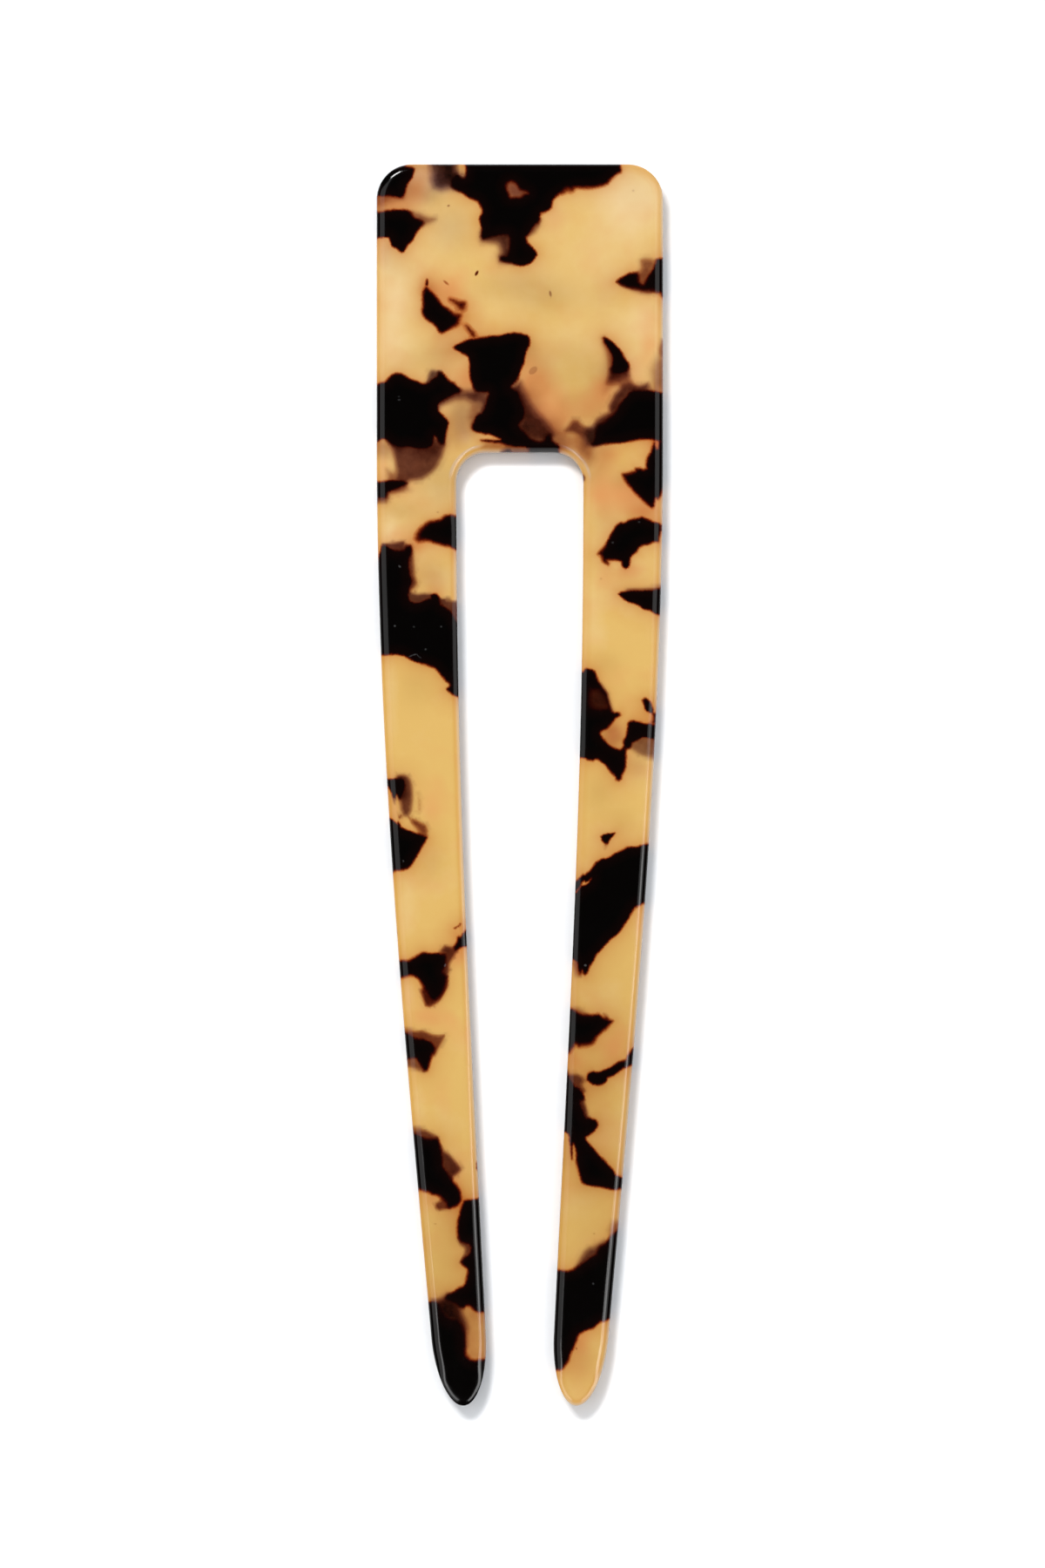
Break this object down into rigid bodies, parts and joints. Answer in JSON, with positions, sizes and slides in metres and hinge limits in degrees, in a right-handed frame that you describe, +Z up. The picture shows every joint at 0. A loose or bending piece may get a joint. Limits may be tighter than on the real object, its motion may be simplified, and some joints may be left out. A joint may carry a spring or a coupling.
{
  "type": "french hair pin",
  "caption": "Flat fork-shaped hair pin of polished acetate sheet: a square crown, a long open slot and tapering prongs that hold a twist or bun of hair.",
  "frame": {"origin": "on the surface that the pin lies on, under the middle of its length and width", "axes": "+Z up out of the flat face, +Y towards the crown's end, +X across the prongs, to the right when the crown points away"},
  "size_m": [0.0294, 0.127, 0.004],
  "materials": {
    "acetate": "polished cellulose acetate, translucent honey and cream with near-black tortoiseshell flakes"
  },
  "bodies": {
    "root": {"hair_pin": "acetate"}
  },
  "joints": []
}
